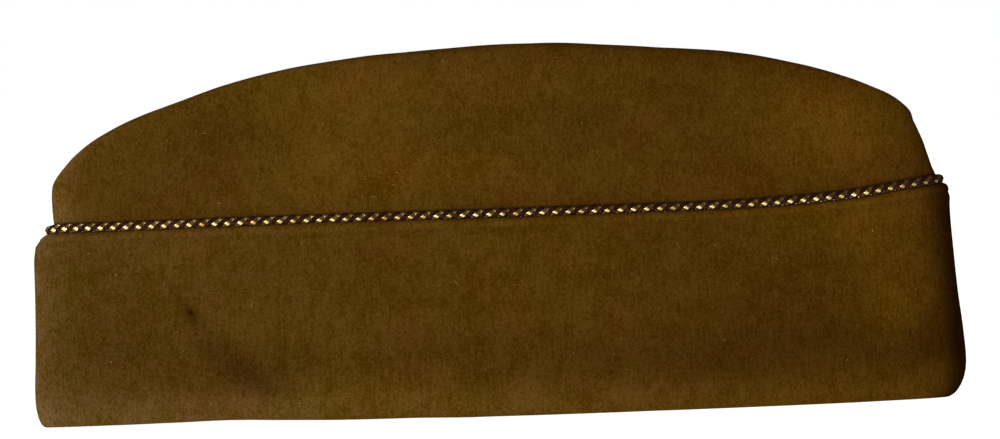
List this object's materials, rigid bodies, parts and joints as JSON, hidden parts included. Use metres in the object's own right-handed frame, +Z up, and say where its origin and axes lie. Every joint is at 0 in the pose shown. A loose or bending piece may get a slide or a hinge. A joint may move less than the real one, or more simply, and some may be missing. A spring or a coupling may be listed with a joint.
{
  "type": "garrison cap",
  "caption": "Folding wool garrison cap with a creased crown, a turned-up curtain and braided cord piping, standing on its rim.",
  "frame": {"origin": "on the surface that the rim rests on, under the middle of the cap", "axes": "+X from the front crease to the back crease, +Y towards the wearer's right side, +Z up from the rim to the ridges"},
  "size_m": [0.2906, 0.062, 0.1145],
  "materials": {
    "wool": "dark olive-brown napped wool",
    "bullion_cord": "gold metal thread braided with near-black silk"
  },
  "bodies": {
    "root": {"crown_left": "wool", "crown_right": "wool", "curtain_left": "wool", "curtain_right": "wool", "piping_left": "bullion_cord", "piping_right": "bullion_cord"}
  },
  "joints": []
}
